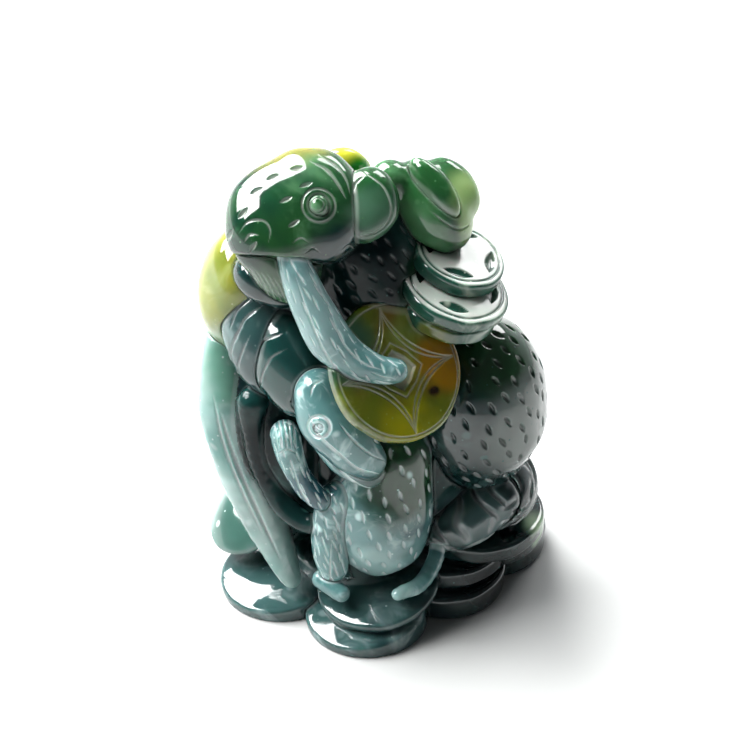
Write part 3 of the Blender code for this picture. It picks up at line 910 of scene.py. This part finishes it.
def sculpt_big_rat_body():
    dark = "jade_dark_teal"
    chest = join(
        ball(spot(-1.0, 0.6, 46.0), (9.4, 9.0, 12.0)),
        ball(spot(-3.6, 1.4, 54.6), (7.6, 7.4, 7.0)),
        ball(spot(0.6, 0.2, 40.6), (10.2, 7.8, 11.0)),
        k=3.0,
    )
    back = join(
        ball(spot(0.6, 7.2, 33.0), (14.6, 11.2, 21.5), (6, 0, 0)),
        ball(spot(1.0, 6.0, 17.2), (15.2, 11.6, 12.0)),
        k=3.0,
    )
    belly = ball(spot(1.6, -0.6, 20.6), (13.6, 9.8, 15.4))
    hair = dict(flow=(0.65, -0.2, -0.7), spacing=1.9, size=(0.9, 0.28, 0.22), seed=15)
    element("big_rat_chest", chest, "jade_deep", 0.2, hair=hair, frost_and_painted_reflection=0.15)
    hair = dict(flow=(0.0, 0.2, -1.0), spacing=2.6, size=(1.0, 0.45, 0.3), seed=16)
    element("big_rat_back", back, dark, 0.28, hair=hair, frost_and_painted_reflection=0.0)
    element("big_rat_belly", belly, "jade_deep", 0.4)
    place = spot(0.5, 1.0, 0) + (0, 0, CORE_HEIGHT / 2)
    core = disc(place, (0, 0, 1), CORE_RADIUS, CORE_HEIGHT, 0.5)
    element("base_core", core, "jade_grey_green", 0.45)


# ---- building the pieces

GROOVE = 0.06  # what is left between two elements at the bottom of their groove
CREASE = 0.3  # how softly an element's edge turns into a groove
SEAM_WIDTH = 0.4
SEAM_FROST = 0.55
HAIR_CLEARANCE = 0.7  # from the nearest other element
FULL_FROST_DEPTH = 0.16
# how white a shoulder coin's flat face is painted: a painted reflection of the window
FACE_PAINTED_REFLECTION = 0.7
FACE_CUT_DEPTH = 0.12  # a cut this deep in a face painted white as a reflection is left unpainted


def overlap(one, other, slack):
    return (one.low - slack < other.high).all() and (other.low - slack < one.high).all()


WAVES = (
    ((0.55, 0.31, 0.47), (0.9, -0.4, 0.3), 0.5),
    ((-0.38, 0.72, 0.29), (0.2, 0.8, -0.5), 2.1),
    ((0.24, -0.45, 0.81), (-0.6, 0.3, 0.7), 4.4),
    ((1.15, 0.66, -0.52), (0.4, 0.5, 0.4), 1.2),
)


def by_hand(p):
    """The same places, shifted a little in slow waves, since nothing here was carved by rule."""
    shift = 0
    for wave, push, start in WAVES:
        shift = shift + np.sin(p @ np.array(wave) + start)[:, None] * np.array(push)
    firm = np.clip(p[:, 2:] / 3, 0, 1)
    return p + 0.085 * firm * shift


def carved(form, earlier):
    """The form cut back from every element before it that reaches it."""
    tools = [other for other in earlier if overlap(form, other, 0.5)]

    def field(p):
        p = by_hand(p)
        d = form(p)
        for tool in tools:
            near = np.flatnonzero(((p > tool.low - 0.4) & (p < tool.high + 0.4)).all(1))
            if len(near):
                d[near] = soft_max(d[near], GROOVE - tool(p[near]), CREASE)
        return d

    return Form(field, form.low - (0.2, 0.2, 0), form.high + 0.2)


def mesh_object(name, vertices, quads):
    mesh = bpy.data.meshes.new(name)
    mesh.vertices.add(len(vertices))
    mesh.vertices.foreach_set("co", (vertices * MM).astype(np.float32).ravel())
    mesh.loops.add(quads.size)
    mesh.loops.foreach_set("vertex_index", quads.astype(np.int32).ravel())
    mesh.polygons.add(len(quads))
    mesh.polygons.foreach_set("loop_start", np.arange(0, quads.size, 4, dtype=np.int32))
    mesh.update(calc_edges=True)
    mesh.validate()
    mesh.shade_smooth()
    piece = bpy.data.objects.new(name, mesh)
    bpy.context.scene.collection.objects.link(piece)
    return piece


def normals_of(mesh):
    found = np.zeros(len(mesh.vertices) * 3, np.float32)
    mesh.vertices.foreach_get("normal", found)
    return found.reshape(-1, 3).astype(float)


def build():
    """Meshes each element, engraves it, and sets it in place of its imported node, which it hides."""
    earlier = []
    for i, e in enumerate(ELEMENTS):
        form = grounded(e["form"])
        whole = carved(form, earlier)
        vertices, quads = net(whole, e["step"] * FINE)
        piece = mesh_object("carved_" + e["name"], vertices, quads)
        normals = normals_of(piece.data)
        others = [o["form"] for j, o in enumerate(ELEMENTS) if j != i]
        others = [o for o in others if overlap(form, o, 1.0)]
        free = np.ones(len(vertices), bool)
        seam = np.zeros(len(vertices))
        for other in others:
            away = other(vertices)
            free &= away > HAIR_CLEARANCE
            seam = np.maximum(seam, bowl(np.maximum(away - GROOVE, 0) / SEAM_WIDTH))
        depth = np.zeros(len(vertices))
        for detail in e["details"]:
            depth = np.maximum(depth, detail(vertices, normals))
        if e["hair"]:
            h = e["hair"]
            places, along = fur(vertices, normals, free, h["flow"], h["spacing"], h["seed"])
            depth = np.maximum(depth, cuts(vertices, places, along, *h["size"]))
        if depth.any():
            vertices = vertices - normals * depth[:, None]
            piece.data.vertices.foreach_set("co", (vertices * MM).astype(np.float32).ravel())
            piece.data.update()
        frost_and_painted_reflection = np.maximum(np.clip(depth / FULL_FROST_DEPTH, 0, 1), SEAM_FROST * seam) * e["frost_and_painted_reflection"]
        # A shoulder coin's flat face is painted white all over, a painted reflection of the window; deep
        # cuts in it are left unpainted.
        if e["face"] is not None:
            flat = np.clip((normals @ e["face"] - 0.9) / 0.06, 0, 1)
            frost_and_painted_reflection = flat * np.clip(1 - depth / FACE_CUT_DEPTH, 0, 1) * FACE_PAINTED_REFLECTION
        # The layer holds the frosted cuts and seams, and the painted reflection on shoulder coin faces.
        layer = piece.data.attributes.new("frost_and_painted_reflection", "FLOAT", "POINT")
        layer.data.foreach_set("value", frost_and_painted_reflection.astype(np.float32))
        piece.data.materials.append(FINISHES[e["finish"]])
        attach(piece, "root")
        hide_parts(e["name"])
        earlier.append(e["form"])


# ---- stone

FINISHES = {}  # filled by jade()


CLOUD_SCALE = 170
SHADE_SCALE = 95
DOT_SCALE = 420
CRUMB_SCALE = 1300
STONE_IOR = 1.66
SCATTER_COLOUR = (0.6, 1.0, 0.85)
SCATTER_REACH = 1.2 * MM


class Graph:
    """Short ways to add nodes to a material or a world, and to join them."""

    def __init__(self, owner):
        owner.use_nodes = True
        self.nodes = owner.node_tree.nodes
        self.links = owner.node_tree.links

    def feed(self, socket, value):
        if isinstance(value, bpy.types.NodeSocket):
            self.links.new(value, socket)
        else:
            socket.default_value = value

    def add(self, kind, **inputs):
        """A new node; an input's name has _ where the socket's has a space."""
        node = self.nodes.new("ShaderNode" + kind)
        for name, value in inputs.items():
            self.feed(node.inputs[name.replace("_", " ")], value)
        return node

    def noise(self, place, scale, detail, rough, warp=0.0):
        texture = self.add("TexNoise", Vector=place, Scale=scale, Detail=detail)
        texture.inputs["Roughness"].default_value = rough
        texture.inputs["Distortion"].default_value = warp
        return texture

    def maths(self, kind, *values):
        node = self.add("Math")
        node.operation = kind
        for socket, value in zip(node.inputs, values):
            self.feed(socket, value)
        return node.outputs["Value"]

    def vector(self, kind, a, b, output="Vector"):
        node = self.add("VectorMath")
        node.operation = kind
        for socket, value in zip(node.inputs, (a, b)):
            self.feed(socket, (value,) * 3 if isinstance(value, float) else value)
        return node.outputs[output]

    def ramp(self, source, low, high, start=0.0, end=1.0):
        """A value carried smoothly from the start to the end, as the source goes from low to high."""
        if high < low:
            low, high, start, end = high, low, end, start
        spread = self.add("MapRange", Value=source, From_Min=low, From_Max=high, To_Min=start, To_Max=end)
        spread.interpolation_type = "SMOOTHSTEP"
        return spread.outputs["Result"]

    def mix(self, factor, a, b):
        blend = self.add("Mix")
        blend.data_type = "RGBA"
        self.links.new(factor, blend.inputs["Factor"])
        for name, value in (("A", a), ("B", b)):
            socket = [s for s in blend.inputs if s.name == name and s.type == "RGBA"][0]
            self.feed(socket, (*value, 1) if isinstance(value, tuple) else value)
        return [s for s in blend.outputs if s.type == "RGBA"][0]

    def specks(self, place, scale, size, share):
        """Dots in some cells: the size is where a dot fades out and is full, in cell widths."""
        cells = self.add("TexVoronoi", Vector=place, Scale=scale)
        pick = self.add("SeparateColor", Color=cells.outputs["Color"])
        dot = self.ramp(cells.outputs["Distance"], *size)
        return self.maths("MULTIPLY", dot, self.ramp(pick.outputs["Red"], *share))


def jade(name, main, veil, deep, tints_and_painted_light=(), cloudy=0.5, shine=0.5, grain=1.0):
    """Polished jade: veils, darker depths and pale specks in a translucent ground.

    A zone is a colour, the place in the layout it spreads from, and how far it reaches. Most zones are the
    stone's own colour; some are painted light: glow of light through thin edges, and reflections of the
    floor and room.
    """
    material = bpy.data.materials.new(name)
    graph = Graph(material)
    shader = graph.nodes["Principled BSDF"]
    place = graph.add("TexCoord").outputs["Object"]
    cloud = graph.noise(place, CLOUD_SCALE * grain, 3, 0.6, 0.8).outputs["Fac"]
    shade = graph.noise(place, SHADE_SCALE * grain, 2, 0.5, 0.4).outputs["Fac"]
    wander = graph.vector("SUBTRACT", graph.noise(place, 120, 2, 0.6).outputs["Color"], 0.5)
    wander = graph.vector("MULTIPLY", wander, 0.006)
    strayed = graph.vector("ADD", place, wander)
    colour = graph.mix(graph.ramp(cloud, 0.50, 0.85 - 0.2 * cloudy), main, veil)
    colour = graph.mix(graph.ramp(shade, 0.45, 0.72), colour, deep)
    for tint, centre, reach in tints_and_painted_light:
        away = graph.vector("DISTANCE", strayed, spot(*centre) * MM, "Value")
        colour = graph.mix(graph.ramp(away, reach * MM, 0.45 * reach * MM), colour, tint)
    half_strayed = graph.vector("ADD", place, graph.vector("MULTIPLY", wander, 0.5))
    colour = graph.mix(graph.specks(half_strayed, DOT_SCALE, (0.34, 0.12), (0.84, 1.0)), colour, veil)
    colour = graph.mix(graph.specks(place, CRUMB_SCALE, (0.26, 0.10), (0.86, 0.97)), colour, veil)
    mark = graph.add("Attribute")
    mark.attribute_name = "frost_and_painted_reflection"
    frost_and_painted_reflection = mark.outputs["Fac"]
    # Frosted cuts and seams turn pale here, and so does the painted reflection on shoulder coin faces.
    colour = graph.mix(frost_and_painted_reflection, colour, tuple(0.28 + 0.55 * c for c in veil))
    polish = graph.add("MapRange", Value=shade, To_Min=0.03, To_Max=0.09).outputs["Result"]
    ripple = graph.noise(place, 420, 2, 0.5).outputs["Fac"]
    bump = graph.add("Bump", Strength=0.25, Distance=0.00004, Height=ripple)
    graph.feed(shader.inputs["Base Color"], colour)
    graph.feed(shader.inputs["Roughness"], graph.maths("MULTIPLY_ADD", frost_and_painted_reflection, 0.22, polish))
    graph.feed(shader.inputs["Normal"], bump.outputs["Normal"])
    shader.inputs["IOR"].default_value = STONE_IOR
    shader.inputs["Subsurface Weight"].default_value = 1.0
    shader.inputs["Subsurface Radius"].default_value = SCATTER_COLOUR
    shader.inputs["Subsurface Scale"].default_value = SCATTER_REACH
    shader.inputs["Specular IOR Level"].default_value = shine
    FINISHES[name] = material


def make_finishes():
    olive = ((0.17, 0.16, 0.02), (-12.0, 4.0, 66.5), 8.5)
    jade(
        "jade_head_green",
        (0.010, 0.060, 0.015),
        (0.05, 0.14, 0.06),
        (0.003, 0.024, 0.014),
        [
            olive,
            ((0.04, 0.10, 0.06), (-0.5, -6.0, 61.0), 4.5),
            ((0.004, 0.02, 0.02), (-5.0, -9.5, 57.5), 5.0),
            ((0.07, 0.16, 0.08), (-6.9, -8.6, 64.4), 1.6),
            # painted glow: the ingot's right lobe lighter yellow-green, as light shining through it
            ((0.22, 0.33, 0.13), (12.5, 0.5, 58.5), 5.5),
            ((0.05, 0.14, 0.06), (5.0, -1.5, 56.0), 6.0),
        ],
    )
    jade(
        "jade_olive_yellow",
        (0.40, 0.40, 0.03),
        (0.50, 0.48, 0.08),
        (0.26, 0.28, 0.02),
        # painted glow: bright green towards the far ear's near edge, as light shining through the thin ear
        [((0.008, 0.24, 0.012), (-1.9, 4.0, 61.0), 3.4)],
    )
    jade(
        "jade_amber",
        (0.070, 0.085, 0.004),
        (0.14, 0.18, 0.045),
        (0.085, 0.050, 0.001),
        [
            ((0.150, 0.080, 0.001), (9.5, -9.5, 42.0), 5.0),
            # partly the coin's own yellow, partly painted glow along its lower rim
            ((0.190, 0.180, 0.001), (3.5, -15.5, 35.5), 6.5),
            ((0.020, 0.060, 0.030), (-4.5, -13.5, 46.0), 7.0),
            ((0.045, 0.110, 0.060), (-4.6, -16.0, 38.0), 3.6),
            ((0.040, 0.075, 0.012), (8.0, -9.0, 48.0), 4.5),
            ((0.012, 0.004, 0.001), (8.6, -13.5, 39.6), 1.1),
        ],
    )
    jade(
        "jade_light_teal",
        (0.085, 0.190, 0.190),
        (0.42, 0.56, 0.55),
        (0.012, 0.058, 0.066),
        [
            ((0.030, 0.100, 0.115), (-5.0, -14.0, 34.0), 4.5),
            ((0.012, 0.065, 0.085), (-9.0, -12.0, 23.0), 5.0),
            ((0.006, 0.040, 0.012), (4.0, -12.5, 24.5), 9.0),
            # painted reflection: the small rat's lower body pale, as the bright floor reflected in it
            ((0.24, 0.36, 0.35), (1.0, -16.0, 11.0), 6.5),
            ((0.17, 0.27, 0.27), (-8.0, -12.6, 52.0), 9.0),
        ],
        grain=1.6,
    )
    dark = (0.004, 0.019, 0.018), (0.025, 0.075, 0.068), (0.001, 0.005, 0.006)
    dark_tints_and_painted_light = [
        ((0.007, 0.042, 0.038), (-13.0, -8.0, 40.0), 9.0),
        ((0.012, 0.045, 0.016), (10.0, -4.0, 48.0), 9.0),
        ((0.11, 0.12, 0.015), (7.5, -5.5, 44.5), 2.6),
        # painted glow: pale green at the right edges of the right base coins, as light through thin stone
        ((0.26, 0.38, 0.23), (22.0, -3.6, 9.9), 3.2),
        ((0.22, 0.34, 0.20), (22.8, -1.2, 6.4), 2.8),
        ((0.008, 0.034, 0.012), (16.0, -3.0, 39.0), 9.0),
        # painted reflection: the right haunch lighter grey at the front right, as the floor reflected in it
        ((0.085, 0.105, 0.095), (20.0, -8.0, 29.5), 8.5),
        # painted light: the hind foot and hock lighter, as the bright room reflected in them
        ((0.045, 0.085, 0.085), (14.0, -10.0, 16.0), 6.5),
        ((0.010, 0.022, 0.024), (6.0, -10.0, 3.0), 9.0),
    ]
    jade("jade_dark_teal", *dark, dark_tints_and_painted_light, cloudy=0.1)
    jade("jade_deep", *dark, dark_tints_and_painted_light, cloudy=0.1, shine=0.15)
    jade(
        "jade_shoulder_coin",
        (0.012, 0.060, 0.040),
        (0.40, 0.46, 0.38),
        (0.005, 0.030, 0.020),
        [((0.09, 0.11, 0.02), (8.4, -9.8, 45.2), 3.0)],
        cloudy=0.0,
    )
    jade(
        "jade_lime",
        (0.19, 0.205, 0.028),
        (0.27, 0.30, 0.10),
        (0.10, 0.14, 0.02),
        [((0.21, 0.28, 0.18), (-19.0, -3.0, 38.0), 6.0)],
    )
    jade(
        "jade_pale",
        (0.24, 0.34, 0.32),
        (0.38, 0.45, 0.44),
        (0.07, 0.19, 0.17),
        [
            ((0.10, 0.22, 0.17), (-18.0, -2.5, 36.0), 7.0),
            ((0.02, 0.095, 0.090), (-15.2, -8.0, 23.6), 4.2),
            ((0.03, 0.08, 0.065), (-21.0, -2.0, 11.0), 11.0),
        ],
    )
    jade("jade_grey_green", (0.030, 0.072, 0.070), (0.15, 0.21, 0.21), (0.010, 0.034, 0.036))


# ---- floor, lights and camera

FLOOR_REACH = 3.0  # metres from the middle to an edge
FLOOR_COLOUR = (0.405, 0.412, 0.408, 1)
AIM = Vector(DRAWING_MIDDLE * MM)
LAMP_AIM = Vector((0, 0, 0.035))
LAMP_DISTANCE = 1.8
FRAME_WIDTH = 0.100  # how much the camera sees across, at its distance
SENSOR_WIDTH = 36.0


def stage():
    mesh = bpy.data.meshes.new("floor")
    rim = [(x * FLOOR_REACH, y * FLOOR_REACH, 0) for x, y in ((-1, -1), (1, -1), (1, 1), (-1, 1))]
    mesh.from_pydata(rim, [], [(0, 1, 2, 3)])
    floor = bpy.data.objects.new("floor", mesh)
    bpy.context.scene.collection.objects.link(floor)
    material = bpy.data.materials.new("floor_paper")
    material.use_nodes = True
    shader = material.node_tree.nodes["Principled BSDF"]
    shader.inputs["Base Color"].default_value = FLOOR_COLOUR
    shader.inputs["Roughness"].default_value = 0.7
    shader.inputs["Specular IOR Level"].default_value = 0.2
    mesh.materials.append(material)


def lamp(name, place, size, power):
    light = bpy.data.lights.new(name, "AREA")
    light.shape = "RECTANGLE"
    light.size, light.size_y = size
    light.energy = power
    holder = bpy.data.objects.new(name, light)
    holder.location = place
    holder.rotation_euler = (LAMP_AIM - Vector(place)).to_track_quat("-Z", "Y").to_euler()
    bpy.context.scene.collection.objects.link(holder)
    return holder


def round_the_figure(turn, rise):
    """A lamp's place, at a turn left of straight back as seen from the figure, and at a height."""
    turn, rise = math.radians(turn), math.radians(rise)
    flat = LAMP_DISTANCE * math.cos(rise)
    return -flat * math.sin(turn), flat * math.cos(turn), LAMP_DISTANCE * math.sin(rise)


def lights():
    """Windows at the back and both sides, a soft ceiling, and a room darker towards the front."""
    world = bpy.data.worlds.new("studio")
    bpy.context.scene.world = world
    graph = Graph(world)
    place = graph.add("TexCoord").outputs["Generated"]
    split = graph.add("SeparateXYZ", Vector=place)
    fade = graph.ramp(split.outputs["Y"], 0.1, 0.95, 0.05, 0.9)
    haze = graph.ramp(split.outputs["Z"], 0.0, 0.3, 0.6, 0.0)
    back = graph.nodes["Background"]
    back.inputs["Color"].default_value = (0.92, 0.97, 1.0, 1)
    graph.feed(back.inputs["Strength"], graph.maths("ADD", fade, haze))
    windows = (
        ("window_front", 98, 50, (0.68, 0.84), 36),
        ("window_near", 64, 43, (0.92, 1.20), 68),
        ("window_far", 30, 46, (0.92, 1.36), 68),
        ("window_right", -30, 39, (0.80, 0.68), 16),
    )
    for name, turn, rise, size, power in windows:
        lamp(name, round_the_figure(turn, rise), size, power)
    ceiling = lamp("ceiling", (-0.45, 0.16, 1.8), (0.9, 0.9), 30)
    ceiling.visible_glossy = False


def camera():
    data = bpy.data.cameras.new("camera")
    holder = bpy.data.objects.new("camera", data)
    bpy.context.scene.collection.objects.link(holder)
    back = Vector(TOWARDS_EYE)
    holder.location = AIM + back * EYE_DISTANCE * MM
    holder.rotation_euler = (-back).to_track_quat("-Z", "Y").to_euler()
    data.sensor_width = SENSOR_WIDTH
    data.lens = SENSOR_WIDTH * EYE_DISTANCE * MM / FRAME_WIDTH
    data.clip_start = 0.01
    data.dof.use_dof = False
    bpy.context.scene.camera = holder
    bpy.context.scene.view_settings.view_transform = "Standard"


sculpt_eyes()
sculpt_foreleg()
sculpt_held_coin()
sculpt_big_rat_head()
sculpt_ingot()
sculpt_shoulder_coins()
sculpt_small_rat()
sculpt_money_bag()
sculpt_big_rat_legs()
sculpt_base_coins()
sculpt_big_rat_body()
make_finishes()
build()
stage()
lights()
camera()
